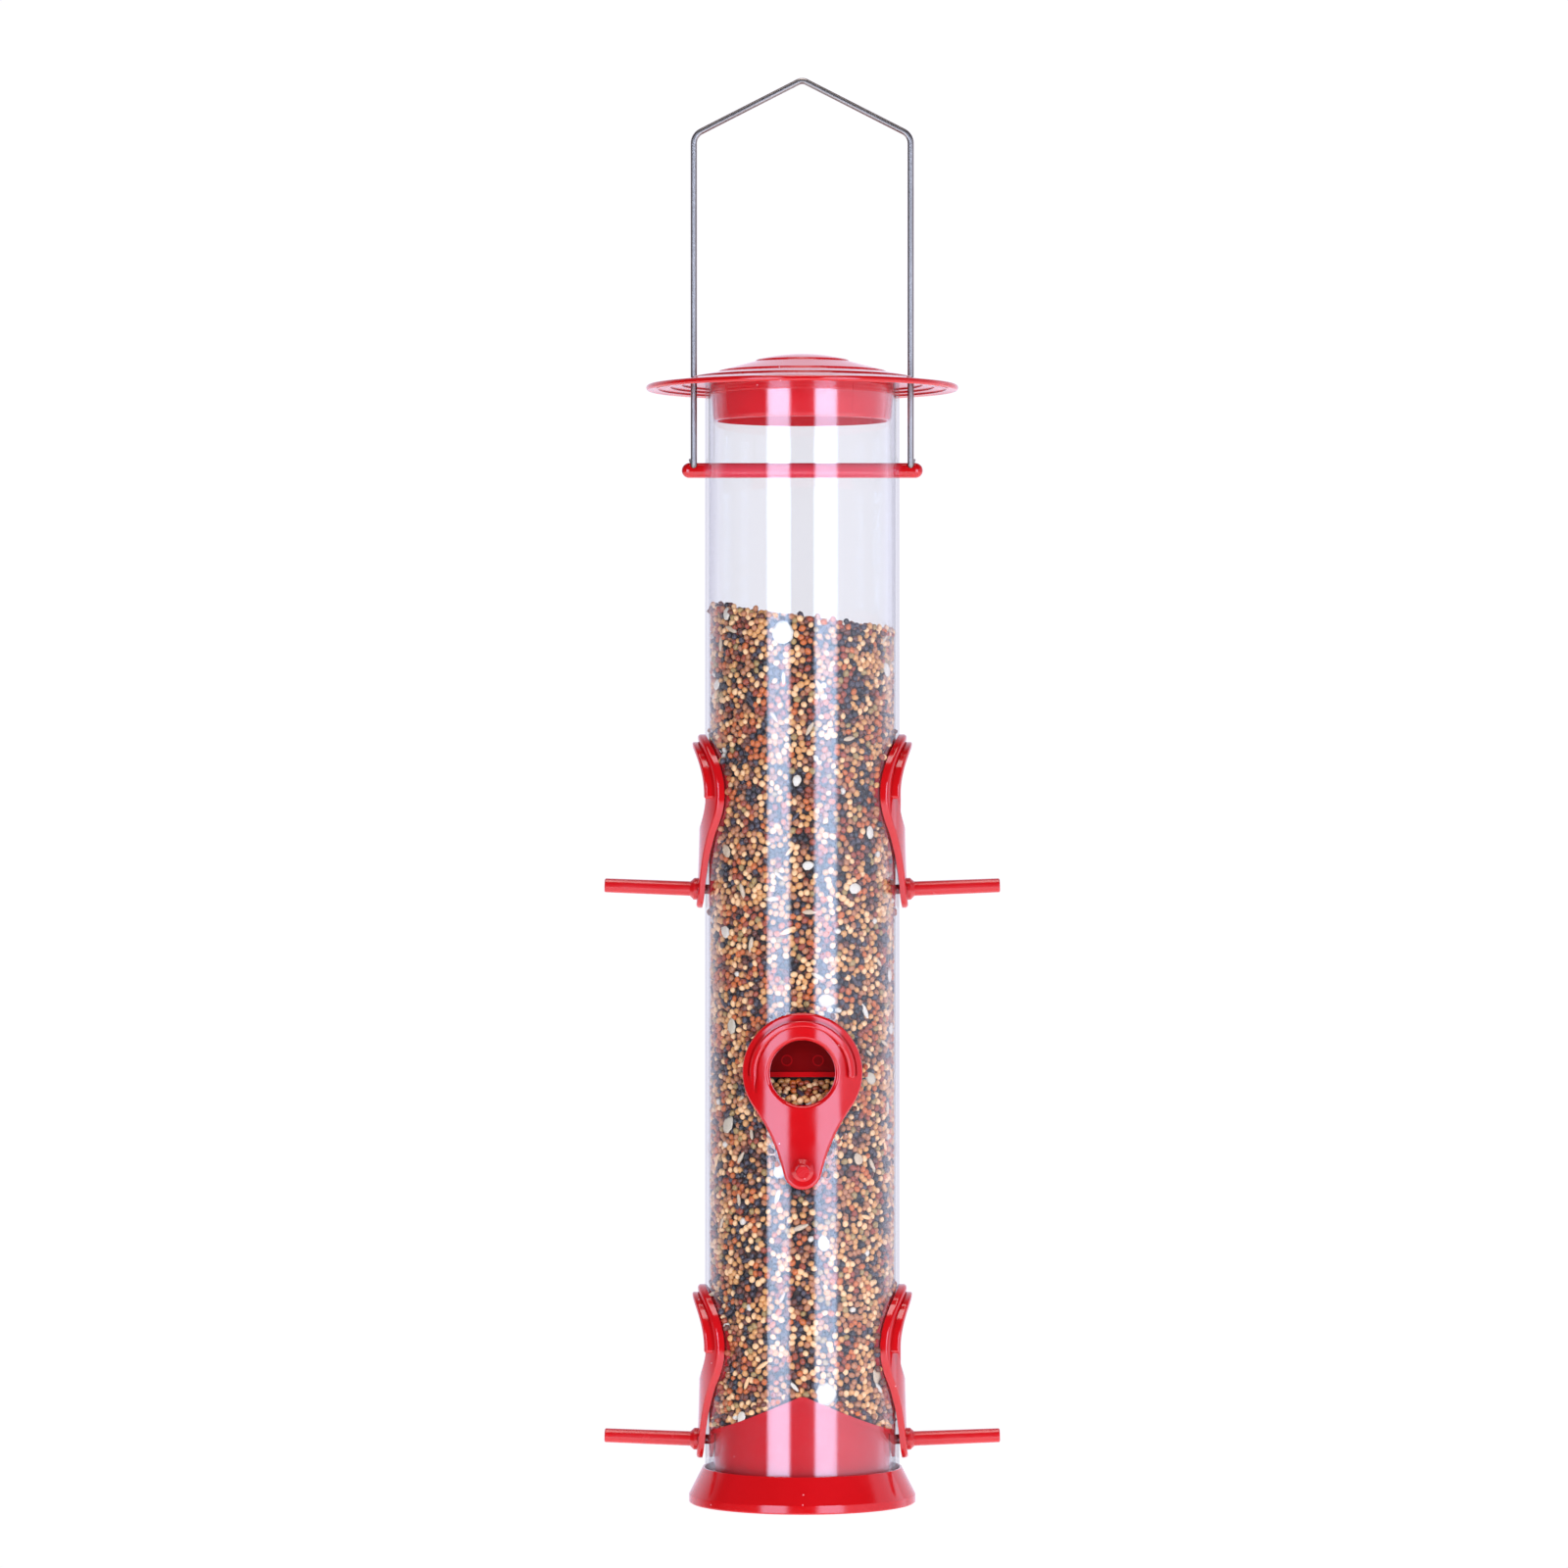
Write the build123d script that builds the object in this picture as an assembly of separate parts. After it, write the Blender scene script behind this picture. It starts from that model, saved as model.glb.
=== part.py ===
"""Hanging tube bird feeder, 476 mm tall, as separate pieces. Millimetres, +Z up.

The origin is the centre of the base's underside. X runs along the cross bar and through
the left and right feeding ports, and -Y is the front, which the middle port faces.
"""

import os
from math import cos, radians, sin, sqrt, tan

from build123d import *

# ---- driving dimensions -------------------------------------------------------------

TUBE_R = 32.5  # outside radius of the clear tube
TUBE_WALL = 1.3
TUBE_BORE = TUBE_R - TUBE_WALL
TUBE_BOTTOM = 5.0
TUBE_TOP = 374.6

BASE_R = 37.9
BASE_EDGE_H = 2.8  # upright edge round the foot
BASE_TOP = 11.8  # where the flared foot meets the tube
SLEEVE_R = 29.6  # part of the base that stands inside the tube
SLEEVE_WALL = 1.5
ROOF_R = 31.0
ROOF_RIDGE_Z = 38.4
ROOF_SLOPE = 24.0
ROOF_THICK = 1.6

LOWEST_PORT_Z = 53.0
PORT_SPACING = 92.0
HOLE_R = 10.75  # feeding hole
COLLAR_R = 12.0  # collar of the port cover, which passes through the tube
COVER_TOP_R = 19.8
COVER_TAB_R = 6.4
COVER_FLANK_R = 62.0
PERCH_DROP = 32.0  # perch axis below the middle of the feeding hole
RIB_R = 16.15
RIB_WIDTH = 2.1
RIB_HEIGHT = 1.9

FLANGE_THICK = 1.2  # inner flange of the baffle, against the bore
FLANGE_TOP_R = 18.4
FLANGE_TAB_R = 6.0
HOOD_DEPTH = 11.0
HOOD_WALL = 1.4
HOOD_INNER_R = 12.3
HOOD_LIP = -1.9  # lower edge of the hood, from the middle of the hole
BOSS_R = 2.9
BOSS_END = 27.2  # how near the boss comes to the tube's axis

PERCH_R = 2.45
PERCH_TIP_R = 2.35
PERCH_REACH = 66.1  # from the tube's axis to the perch's tip
PERCH_TILT = 2.2
SHANK_R = 1.6

BAR_R = 2.525
BAR_LENGTH = 80.7
BAR_Z = 345.0

WIRE_R = 1.05
LEG_SPACING = 72.5
LEG_Y = -2.0  # the legs come down just in front of the bar's axis
HOOK_RISE = 0.9  # the wire crosses the bar this far above its axis
TAIL_Y = 4.0
SHOULDER_Z = 457.0
APEX_SLOPE = 27.0

LID_R = 52.2
LID_THICK = 1.25
PLUG_TOP_R = 30.9
PLUG_BOTTOM_R = 29.8
PLUG_BOTTOM_Z = 361.5
PLUG_WALL = 1.3
SLOT_LENGTH = 6.7
SLOT_WIDTH = 3.2

SEED_R = 31.0
SEED_TOP_LEFT = 300.2
SEED_TOP_RIGHT = 291.8

SLIDE_GAP = 0.1  # play between pieces that slip together
SHAFT_GAP = 0.075  # running play of the bar in the tube
FILL_GAP = 0.3  # the seed mass stays this far from the mouldings

# Each port: name, way it faces in degrees from +X, and level counted from the lowest.
PORTS = [
    ("lower_left", 180, 0),
    ("lower_right", 0, 0),
    ("middle_front", 270, 1),
    ("middle_back", 90, 1),
    ("upper_left", 180, 2),
    ("upper_right", 0, 2),
]


# ---- helpers ------------------------------------------------------------------------


def turned(points):
    """Solid of revolution about Z from a closed outline of (radius, height) points."""
    return revolve(Plane.XZ * make_face(Polyline(*points, close=True)), Axis.Z)


def ring(inner_r, outer_r, low, high):
    return turned([(inner_r, low), (outer_r, low), (outer_r, high), (inner_r, high)])


def rod_x(radius, x0, x1, z=0.0):
    """Round bar along X from x0 to x1."""
    return extrude(Plane.YZ.offset(x0) * Pos(0, z) * Circle(radius), x1 - x0)


def outwards(sketch, x0=0.0, x1=60.0):
    """Extrudes a sketch drawn in Y and Z along X, the way the right-hand port faces."""
    return extrude(Plane.YZ.offset(x0) * sketch, x1 - x0)


def placed(shape, azimuth, level):
    """Turns and lifts a piece made for a port that faces +X with its hole at z = 0."""
    return Rot(0, 0, azimuth) * Pos(0, 0, LOWEST_PORT_Z + level * PORT_SPACING) * shape


# ---- tube ---------------------------------------------------------------------------


def make_tube():
    tube = ring(TUBE_BORE, TUBE_R, TUBE_BOTTOM, TUBE_TOP)
    for _, azimuth, level in PORTS:
        collar_hole = rod_x(COLLAR_R + SLIDE_GAP, 20, 40)
        tube -= placed(collar_hole, azimuth, level)
        tube -= placed(shank_hole(), azimuth, level)
    tube -= rod_x(BAR_R + SHAFT_GAP, -40, 40, BAR_Z)
    return tube


# ---- base ---------------------------------------------------------------------------


def under_roof(ridge_z):
    """Everything below a gable whose rounded ridge runs along Y."""
    half = 45.0
    eave = ridge_z - half * tan(radians(ROOF_SLOPE))
    outline = Polyline((-half, -5), (half, -5), (half, eave), (0, ridge_z), (-half, eave), close=True)
    block = extrude(Plane.XZ * make_face(outline), half, both=True)
    ridge = block.edges().filter_by(Axis.Y).sort_by(Axis.Z)[-1]
    return fillet(ridge, 4.0)


def make_base():
    web_z = TUBE_BOTTOM - 1.6
    foot = turned(
        [
            (BASE_R, 0),
            (BASE_R, BASE_EDGE_H),
            (TUBE_R + 0.8, BASE_TOP),
            (TUBE_R + SLIDE_GAP, BASE_TOP),
            (TUBE_R + SLIDE_GAP, TUBE_BOTTOM),
            (TUBE_BORE - SLIDE_GAP, TUBE_BOTTOM),
            (TUBE_BORE - SLIDE_GAP, TUBE_BOTTOM + 4.5),
            (SLEEVE_R, TUBE_BOTTOM + 6.0),
            (SLEEVE_R, ROOF_RIDGE_Z + 5),
            (SLEEVE_R - SLEEVE_WALL, ROOF_RIDGE_Z + 5),
            (SLEEVE_R - SLEEVE_WALL, web_z),
            (BASE_R - 2.3, web_z),
            (BASE_R - 1.5, BASE_EDGE_H - 0.6),
            (BASE_R - 1.5, 0),
        ]
    )
    edges = foot.edges().filter_by(GeomType.CIRCLE).filter_by(lambda e: abs(e.radius - BASE_R) < 0.01)
    foot = fillet(edges, 0.5)
    gable = under_roof(ROOF_RIDGE_Z)
    roof = ring(0, ROOF_R, 10, ROOF_RIDGE_Z + 5) & gable
    roof -= under_roof(ROOF_RIDGE_Z - ROOF_THICK)
    base = (foot & gable) + roof
    # Gaps for the lower baffles' tabs, and holes in the sleeve that their bosses lock into.
    tab_half = FLANGE_TAB_R + 1.6
    perch_z = LOWEST_PORT_Z - PERCH_DROP
    rim = ring(SLEEVE_R + 0.1, TUBE_R, perch_z - 7.5, perch_z + 10)
    base -= rim & Pos(0, 0, perch_z) * Box(2 * TUBE_R, 2 * tab_half, 40)
    base -= rod_x(BOSS_R + 0.3, -SLEEVE_R - 2, SLEEVE_R + 2, perch_z) - rod_x(6, -24, 24, perch_z)
    return base


# ---- feeding ports ------------------------------------------------------------------


def teardrop(top_r, tab_r):
    """Outline of a port plate: round the hole above, round the perch below, hollow flanks."""
    to_hole = top_r + COVER_FLANK_R
    to_perch = tab_r + COVER_FLANK_R
    mid_v = (to_perch**2 - to_hole**2 - PERCH_DROP**2) / (2 * PERCH_DROP)
    mid_u = sqrt(to_hole**2 - mid_v**2)
    upper = Vector(mid_u, mid_v) * (top_r / to_hole)
    perch = Vector(0, -PERCH_DROP)
    lower = perch + (Vector(mid_u, mid_v) - perch) * (tab_r / to_perch)
    middle = Vector(mid_u, mid_v)
    waist = middle + ((upper - middle) + (lower - middle)).normalized() * COVER_FLANK_R

    def across(point):
        return Vector(-point.X, point.Y)

    edges = [
        ThreePointArc(upper, (0, top_r), across(upper)),
        ThreePointArc(across(upper), across(waist), across(lower)),
        ThreePointArc(across(lower), (0, -PERCH_DROP - tab_r), lower),
        ThreePointArc(lower, waist, upper),
    ]
    return Face(Wire(edges))


def cover_skin(depth, height):
    """Band round the tube's axis from depth below to height above the cover's outer surface.

    The surface is nearest the tube at the hole and stands off at both ends.
    """
    top = (TUBE_R + 2.6, COVER_TOP_R + 2)
    waist = (TUBE_R + 1.9, -6)
    foot = (TUBE_R + 3.2, -PERCH_DROP - 9)
    outer = [(r + height, z) for r, z in (top, waist, foot)]
    inner = [(r - depth, z) for r, z in (top, waist, foot)]
    edges = [
        ThreePointArc(*outer),
        Line(outer[2], inner[2]),
        ThreePointArc(*reversed(inner)),
        Line(inner[0], outer[0]),
    ]
    return revolve(Plane.XZ * Face(Wire(edges)), Axis.Z)


def shank_hole():
    return perch_axis() * extrude(Circle(SHANK_R + SLIDE_GAP), 12, both=True)


def perch_axis():
    """Plane at the cover's tab whose normal points out along the tilted perch."""
    tilt = radians(PERCH_TILT)
    return Plane(origin=(TUBE_R + 2.5, 0, -PERCH_DROP), z_dir=(cos(tilt), 0, sin(tilt)))


def arch(radius, width):
    """Half-round slot over the feeding hole, with round ends."""
    ends = -0.8
    path = ThreePointArc((-radius, ends), (0, radius), (radius, ends))
    return SlotArc(path, width)


def make_cover():
    lift = turned(
        [
            (0, -PERCH_DROP - 10),
            (TUBE_R + 1.15, -PERCH_DROP - 10),
            (TUBE_R, -HOLE_R - 7),
            (TUBE_R, COVER_TOP_R + 3),
            (0, COVER_TOP_R + 3),
        ]
    )
    plate = (cover_skin(6, 0) - lift) & outwards(teardrop(COVER_TOP_R, COVER_TAB_R))
    outer_face = plate.faces().sort_by(lambda f: Vector(f.center().X, f.center().Y).length)[-1]
    plate = fillet(outer_face.edges(), 1.1)
    plate -= outwards(arch(RIB_R + 1.45, 0.7)) & cover_skin(0.45, 3)
    rib = outwards(arch(RIB_R, RIB_WIDTH)) & cover_skin(1.0, RIB_HEIGHT)
    rib_top = rib.faces().sort_by(lambda f: Vector(f.center().X, f.center().Y).length)[-1]
    rib = fillet(rib_top.edges(), 0.6)
    plate -= outwards(Circle(HOLE_R))
    hole_edge = (
        plate.edges()
        .filter_by(lambda e: abs(sqrt((e @ 0.3).Y ** 2 + (e @ 0.3).Z ** 2) - HOLE_R) < 0.01)
        .sort_by(lambda e: Vector((e @ 0.3).X, (e @ 0.3).Y).length)[-1]
    )
    plate = fillet(hole_edge, 1.2)
    collar = outwards(Circle(COLLAR_R) - Circle(HOLE_R))
    collar &= ring(TUBE_BORE - FLANGE_THICK, TUBE_R + 1.0, -20, 20)
    return plate + rib + collar - shank_hole()


def hood_outline(radius, low):
    """Half round over the hole, with straight sides down to the height low."""
    upright = Pos(0, low / 2) * Rectangle(2 * radius, -low)
    return (Circle(radius) & Pos(0, radius) * Rectangle(2 * radius, 2 * radius)) + upright


def make_baffle():
    bore = ring(0, TUBE_BORE, -60, 60)
    band = ring(TUBE_BORE - FLANGE_THICK, TUBE_BORE, -60, 60)
    flange = band & outwards(teardrop(FLANGE_TOP_R, FLANGE_TAB_R))
    flange -= outwards(Circle(COLLAR_R + SLIDE_GAP))
    back = TUBE_BORE - HOOD_DEPTH
    hood = outwards(hood_outline(HOOD_INNER_R + HOOD_WALL, HOOD_LIP), back) & bore
    hood -= outwards(hood_outline(HOOD_INNER_R, 2 * HOOD_LIP), back + HOOD_WALL)
    front = back + HOOD_WALL
    hood += Pos(front + 0.3, 0, HOOD_LIP + 0.85) * Box(1.0, 2 * HOOD_INNER_R, 1.7)
    for y in (-5.2, 5.2):
        hood += outwards(Pos(y, 3.6) * (Circle(1.85) - Circle(1.5)), front - 0.2, front + 0.25)
    boss = rod_x(BOSS_R, BOSS_END, TUBE_BORE - 0.6, -PERCH_DROP)
    blind_end = rod_x(BOSS_R + 1, 0, BOSS_END + 0.5, -PERCH_DROP)
    return flange + boss - (shank_hole() - blind_end) + hood


def make_perch():
    length = (PERCH_REACH - TUBE_R - 2.5) / cos(radians(PERCH_TILT))
    outline = Polyline(
        (0, 0),
        (3.7, 0),
        (3.7, 1.2),
        (PERCH_R, 2.5),
        (PERCH_TIP_R, length - 0.3),
        (PERCH_TIP_R - 0.3, length),
        (0, length),
        close=True,
    )
    rod = perch_axis() * revolve(Plane.XZ * make_face(outline), Axis.Z)
    rod -= cover_skin(10, 0)
    shank = perch_axis() * (Pos(0, 0, -2.8) * Cylinder(SHANK_R, 8.2))
    return rod + shank


# ---- bar and wire hanger ------------------------------------------------------------


def hanger_solid(radius):
    """Wire bail: hooked through the bar at each end, with straight legs and a peaked top."""
    half = LEG_SPACING / 2
    hook_z = BAR_Z + HOOK_RISE
    right = [
        (half, LEG_Y, SHOULDER_Z),
        (half, LEG_Y, hook_z),
        (half, TAIL_Y, hook_z),
        (half + 0.8, TAIL_Y, hook_z + 3.3),
    ]
    left = [(-x, y, z) for x, y, z in reversed(right)]
    peak = (0, LEG_Y, SHOULDER_Z + half * tan(radians(APEX_SLOPE)))
    bends = [1.4, 1.6, 4.5, 3.0, 4.5, 1.6, 1.4]
    path = FilletPolyline(*left, peak, *right, radius=bends)
    start = Plane(origin=path @ 0, z_dir=path % 0)
    return sweep(start * Circle(radius), path=path)


def make_bar():
    straight = BAR_LENGTH / 2 - BAR_R
    bar = rod_x(BAR_R, -straight, straight, BAR_Z)
    for side in (-1, 1):
        bar += Pos(side * straight, 0, BAR_Z) * Sphere(BAR_R)
    return bar - hanger_solid(WIRE_R + 0.08)


# ---- lid ----------------------------------------------------------------------------


def make_lid():
    crown_z = 383.9
    steps = [(15.5, 381.9, 0.45), (28.0, 378.2, 0.45), (36.8, 376.1, 0.45)]
    upper = [ThreePointArc((0, crown_z), (7.8, crown_z - 0.5), steps[0][:2])]
    last = None
    for radius, z, drop in steps:
        if last:
            upper.append(Line(last, (radius, z)))
        last = (radius + 0.25, z - drop)
        upper.append(Line((radius, z), last))
    rim_top = (LID_R - 1.6, 373.4)
    rim_low = (LID_R - 0.6, 371.7)
    upper.append(Line(last, rim_top))
    upper.append(ThreePointArc(rim_top, (LID_R, 372.5), rim_low))
    under = [
        rim_low,
        (LID_R - 1.7, 372.0),
        (37.4, 374.35),
        (PLUG_TOP_R + 1.0, 375.3),
        (PLUG_TOP_R, 374.9),
        (PLUG_BOTTOM_R, PLUG_BOTTOM_Z + 1.2),
        (PLUG_BOTTOM_R - 0.2, PLUG_BOTTOM_Z + 0.4),
        (PLUG_BOTTOM_R - 0.6, PLUG_BOTTOM_Z),
        (PLUG_BOTTOM_R - PLUG_WALL, PLUG_BOTTOM_Z),
        (PLUG_TOP_R - PLUG_WALL, 376.2),
        (27.6, 376.7),
        (15.2, crown_z - LID_THICK - 2.4),
        (8.0, crown_z - LID_THICK - 0.55),
        (0, crown_z - LID_THICK),
    ]
    edges = upper + [Line(a, b) for a, b in zip(under, under[1:])] + [Line(under[-1], (0, crown_z))]
    lid = revolve(Plane.XZ * Face(Wire(edges)), Axis.Z)
    for radius in (40.5, 44.5, 48.5):
        slope = (radius - 37.4) / (LID_R - 1.7 - 37.4)
        under_z = 374.35 - slope * (374.35 - 372.0)
        lid += ring(radius - 0.25, radius + 0.25, under_z - 0.3, under_z + 0.4)
    rib_outline = Polyline(
        (PLUG_TOP_R + 0.15, 374.9),
        (PLUG_BOTTOM_R + 0.15, PLUG_BOTTOM_Z + 1.5),
        (PLUG_BOTTOM_R - 0.5, PLUG_BOTTOM_Z + 1.5),
        (PLUG_TOP_R - 0.5, 374.9),
        close=True,
    )
    rib = extrude(Plane.XZ * make_face(rib_outline), 0.5, both=True)
    for quarter in range(4):
        lid += Rot(0, 0, -56 + 90 * quarter) * rib
    for side in (-1, 1):
        slot = Pos(side * LEG_SPACING / 2, LEG_Y, 366) * SlotOverall(SLOT_LENGTH, SLOT_WIDTH)
        lid -= extrude(slot, 16)
    return lid


# ---- seed ---------------------------------------------------------------------------


def make_seed_fill():
    """The seed as one mass, with a hollow behind each feeding hole where it slopes away."""
    low = ring(0, SEED_R, 15, 320)
    mean = (SEED_TOP_LEFT + SEED_TOP_RIGHT) / 2
    fall = (SEED_TOP_LEFT - SEED_TOP_RIGHT) / 2
    surface = Polyline(
        (-SEED_R, 0), (SEED_R, 0), (SEED_R, mean - fall), (-SEED_R, mean + fall), close=True
    )
    fill = low & extrude(Plane.XZ * make_face(surface), 40, both=True)
    fill -= under_roof(ROOF_RIDGE_Z + FILL_GAP)
    back = TUBE_BORE - HOOD_DEPTH - FILL_GAP
    hood = outwards(hood_outline(HOOD_INNER_R + HOOD_WALL + FILL_GAP, HOOD_LIP - FILL_GAP), back)
    slope = Polyline((back, 0), (back, HOOD_LIP - FILL_GAP), (40, -15), (40, 0), close=True)
    hollow = extrude(Plane.XZ * make_face(slope), HOOD_INNER_R, both=True)
    band = ring(TUBE_BORE - FLANGE_THICK - FILL_GAP, TUBE_R, -60, 60)
    flange = band & outwards(teardrop(FLANGE_TOP_R + FILL_GAP, FLANGE_TAB_R + FILL_GAP))
    boss = rod_x(BOSS_R + FILL_GAP, BOSS_END - FILL_GAP, 40, -PERCH_DROP)
    for _, azimuth, level in PORTS:
        fill -= placed(hood + hollow + flange + boss, azimuth, level)
    return fill


# ---- all pieces ---------------------------------------------------------------------


def main():
    os.makedirs("parts", exist_ok=True)
    pieces = {
        "tube": make_tube(),
        "base": make_base(),
        "lid": make_lid(),
        "cross_bar": make_bar(),
        "hanger": hanger_solid(WIRE_R),
        "seed_fill": make_seed_fill(),
    }
    cover = make_cover()
    baffle = make_baffle()
    perch = make_perch()
    for name, azimuth, level in PORTS:
        pieces[f"port_cover_{name}"] = placed(cover, azimuth, level)
        pieces[f"port_baffle_{name}"] = placed(baffle, azimuth, level)
        pieces[f"perch_{name}"] = placed(perch, azimuth, level)
    for node, shape in pieces.items():
        export_step(shape, f"parts/{node}.step")


main()
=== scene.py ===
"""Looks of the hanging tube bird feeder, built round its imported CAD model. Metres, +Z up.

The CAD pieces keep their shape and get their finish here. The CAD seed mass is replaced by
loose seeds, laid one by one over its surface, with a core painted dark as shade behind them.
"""

import math

import bmesh
import bpy
import numpy as np
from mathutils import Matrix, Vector, noise


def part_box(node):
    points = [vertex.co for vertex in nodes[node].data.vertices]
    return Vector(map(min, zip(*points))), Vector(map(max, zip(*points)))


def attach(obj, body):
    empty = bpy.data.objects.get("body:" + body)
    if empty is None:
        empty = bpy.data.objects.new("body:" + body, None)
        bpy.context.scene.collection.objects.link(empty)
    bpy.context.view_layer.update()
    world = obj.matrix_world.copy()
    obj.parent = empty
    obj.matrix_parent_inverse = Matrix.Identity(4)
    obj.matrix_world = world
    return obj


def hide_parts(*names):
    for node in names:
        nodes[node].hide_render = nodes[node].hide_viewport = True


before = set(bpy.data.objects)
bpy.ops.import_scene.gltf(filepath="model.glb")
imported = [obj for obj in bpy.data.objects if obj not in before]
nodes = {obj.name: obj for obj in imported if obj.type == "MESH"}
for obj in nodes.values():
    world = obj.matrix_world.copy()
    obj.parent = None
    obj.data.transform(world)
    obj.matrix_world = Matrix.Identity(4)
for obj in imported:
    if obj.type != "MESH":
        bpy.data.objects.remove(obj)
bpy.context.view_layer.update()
MM = 0.001

# ---- places read from the frame -----------------------------------------------------------

COLLAR_R = 12.0 * MM
COVER_HEIGHT_ABOVE = 19.8 * MM  # from the middle of a feeding hole to the top of its cover
# The direction that each port faces, and then the height of the middle of its feeding hole.
PORT_WAYS = {
    "lower_left": (-1, 0),
    "lower_right": (1, 0),
    "middle_front": (0, -1),
    "middle_back": (0, 1),
    "upper_left": (-1, 0),
    "upper_right": (1, 0),
}
HOLE_Z = {name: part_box(f"port_cover_{name}")[1][2] - COVER_HEIGHT_ABOVE for name in PORT_WAYS}


# ---- camera and studio --------------------------------------------------------------------

CAMERA_PLACE = (-0.0061, -2.0434, 0.2401)
LENS_MM = 140.2
SENSOR_MM = 36

LIGHT_DISTANCE = 1.5  # of the softboxes and the reflector, from the feeder
SOFTBOX_AZIMUTH = 28.8  # each side of the camera, in degrees
SOFTBOX_SPAN = 33.0  # how wide it looks from the feeder, in degrees
SOFTBOX_HEIGHT = 1.0
SOFTBOX_Z = 0.2
SOFTBOX_RADIANCE = 7.8
SOFTBOX_COLOUR = (0.59, 0.75, 1.04)
SOFTBOX_TOP_GAIN = 1.6
REFLECTOR_AZIMUTH = 87
REFLECTOR_SIZE = (2.8, 1.4)
REFLECTOR_Z = 0.25
REFLECTOR_RADIANCE = 0.95
REFLECTOR_COLOUR = (0.78, 0.84, 1.06)
OVERHEAD_STRENGTH = 1.9
OVERHEAD_SPREAD = 40  # how wide the overhead light is, in degrees
OVERHEAD_TILT = 8

BACKDROP_TO_CAMERA = 1.06
BACKDROP_AS_LIGHT = (0.08, 1.15)  # in front of the feeder, and behind it
BACKDROP_TURNS = (0.22, 0.75)  # where one turns into the other, from 0 in front to 1 behind
BACKDROP_WHITE = (0.97, 0.955, 1.0)
BACKDROP_LIGHT_COLOUR = (0.93, 0.91, 1.1)

FLOOR_Z = -0.32  # the feeder hangs above the floor
FLOOR_R = 2.1
FLOOR_GLOW = 0.6


def make_camera():
    data = bpy.data.cameras.new("camera")
    data.lens = LENS_MM
    data.sensor_width = SENSOR_MM
    data.clip_end = 60
    camera = bpy.data.objects.new("camera", data)
    camera.location = CAMERA_PLACE
    camera.rotation_euler = (math.radians(90), 0, 0)
    bpy.context.collection.objects.link(camera)
    bpy.context.scene.camera = camera


def make_area(name, azimuth, z, size, radiance, colour):
    """A soft light at an azimuth from the front, facing the feeder.

    Radiance is against the 1 of a white backdrop.
    """
    data = bpy.data.lights.new(name, "AREA")
    data.shape = "RECTANGLE"
    data.size, data.size_y = size
    data.energy = radiance * math.pi * size[0] * size[1]
    data.color = colour
    light = bpy.data.objects.new(name, data)
    a = math.radians(azimuth)
    light.location = (LIGHT_DISTANCE * math.sin(a), -LIGHT_DISTANCE * math.cos(a), z)
    aim = Vector((0, 0, z)) - light.location
    light.rotation_euler = aim.to_track_quat("-Z", "Y").to_euler()
    light.visible_camera = False
    bpy.context.collection.objects.link(light)
    return data


def fade_diffuser(light_data, top_gain):
    """Makes a softbox fade out at its sides, and its top top_gain times as bright as its bottom."""
    light_data.use_nodes = True
    tree = light_data.node_tree
    geometry = tree.nodes.new("ShaderNodeNewGeometry")
    across, up, _ = split_xyz(tree, geometry.outputs["Parametric"])
    off_centre = calc(tree, "ABSOLUTE", calc(tree, "SUBTRACT", across, 0.5))
    edge = remap(tree, off_centre, 0.5, 0.3, smooth=True)
    middle = (1 + top_gain) / 2
    height = remap(tree, up, 0, 1, 1 / middle, top_gain / middle)
    strength = calc(tree, "MULTIPLY", edge, height)
    tree.links.new(strength, tree.nodes["Emission"].inputs["Strength"])


def make_lights():
    size = (2 * LIGHT_DISTANCE * math.tan(math.radians(SOFTBOX_SPAN / 2)), SOFTBOX_HEIGHT)
    for name, azimuth in (("softbox_left", -SOFTBOX_AZIMUTH), ("softbox_right", SOFTBOX_AZIMUTH)):
        softbox = make_area(name, azimuth, SOFTBOX_Z, size, SOFTBOX_RADIANCE, SOFTBOX_COLOUR)
        fade_diffuser(softbox, SOFTBOX_TOP_GAIN)
    make_area("reflector_right", REFLECTOR_AZIMUTH, REFLECTOR_Z, REFLECTOR_SIZE,
              REFLECTOR_RADIANCE, REFLECTOR_COLOUR)
    data = bpy.data.lights.new("overhead", "SUN")
    data.energy = OVERHEAD_STRENGTH
    data.angle = math.radians(OVERHEAD_SPREAD)
    overhead = bpy.data.objects.new("overhead", data)
    overhead.rotation_euler = (math.radians(OVERHEAD_TILT), 0, 0)
    bpy.context.collection.objects.link(overhead)


def make_world():
    """White to the camera; as a light it is bright behind the feeder and dim on the front side."""
    world = bpy.data.worlds.new("studio")
    bpy.context.scene.world = world
    world.use_nodes = True
    tree = world.node_tree
    tree.nodes.clear()
    place = tree.nodes.new("ShaderNodeTexCoord")
    _, to_back, _ = split_xyz(tree, place.outputs["Generated"])
    as_light = remap(tree, to_back, *BACKDROP_TURNS, *BACKDROP_AS_LIGHT, smooth=True)
    path = tree.nodes.new("ShaderNodeLightPath")
    to_camera = path.outputs["Is Camera Ray"]
    choose = tree.nodes.new("ShaderNodeMix")
    choose.inputs[3].default_value = BACKDROP_TO_CAMERA
    back = tree.nodes.new("ShaderNodeBackground")
    colour = mix_colours(tree, to_camera, BACKDROP_LIGHT_COLOUR, BACKDROP_WHITE)
    tree.links.new(colour, back.inputs["Color"])
    out = tree.nodes.new("ShaderNodeOutputWorld")
    tree.links.new(to_camera, choose.inputs[0])
    tree.links.new(as_light, choose.inputs[2])
    tree.links.new(choose.outputs[0], back.inputs["Strength"])
    tree.links.new(back.outputs[0], out.inputs["Surface"])


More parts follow.
